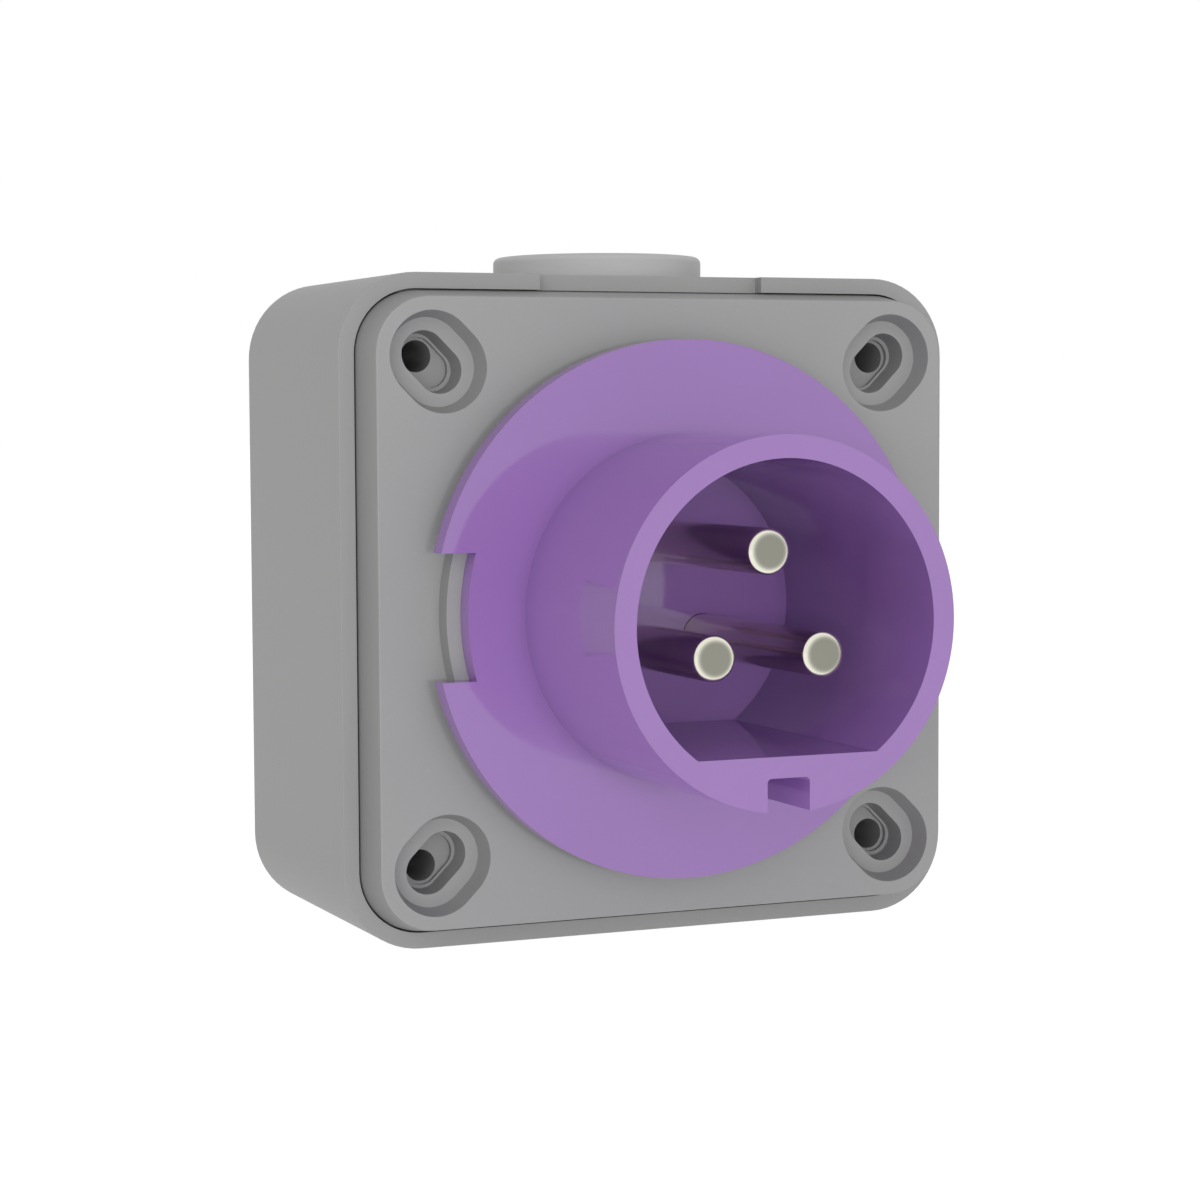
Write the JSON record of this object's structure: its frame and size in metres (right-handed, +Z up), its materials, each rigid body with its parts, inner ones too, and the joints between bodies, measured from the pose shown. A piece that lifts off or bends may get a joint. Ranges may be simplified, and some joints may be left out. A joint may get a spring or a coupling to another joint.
{
  "type": "cee wall inlet",
  "caption": "Grey surface-mounted box with a violet extra-low-voltage inlet: round keyed collar, nickel-plated pins, stepped screw recesses and a plugged cable entry on top.",
  "frame": {"origin": "centre of the flat wall face", "axes": "+Z up, +Y into the wall, -Y out of the collar towards the viewer, +X to the right of someone who faces the inlet"},
  "size_m": [0.0914, 0.0835, 0.0948],
  "materials": {
    "box_grey": "fine-grained moulded polyamide",
    "cover_grey": "satin moulded polyamide",
    "violet_plastic": "semi-gloss moulded polyamide, violet for 20 to 25 V",
    "plug_grey": "satin moulded polyamide",
    "clamp_grey": "matt glass-filled polyamide",
    "seal_black": "matt rubber",
    "nickel_plate": "bright nickel plate on turned brass",
    "screw_steel": "zinc-plated steel"
  },
  "bodies": {
    "root": {"back_box": "box_grey", "front_cover": "cover_grey", "cover_gasket": "seal_black", "inlet_body": "violet_plastic", "flange_seal": "seal_black", "clamp_ring": "clamp_grey", "retainer_plate": "clamp_grey", "entry_plug": "plug_grey", "entry_seal": "seal_black", "clamp_screw_1": "screw_steel", "clamp_screw_2": "screw_steel", "clamp_screw_3": "screw_steel", "clamp_screw_4": "screw_steel", "pin_1": "nickel_plate", "pin_2": "nickel_plate", "pin_3": "nickel_plate", "terminal_screw_1": "screw_steel", "retainer_screw_1": "screw_steel", "terminal_screw_2": "screw_steel", "retainer_screw_2": "screw_steel", "terminal_screw_3": "screw_steel", "retainer_screw_3": "screw_steel"}
  },
  "joints": []
}
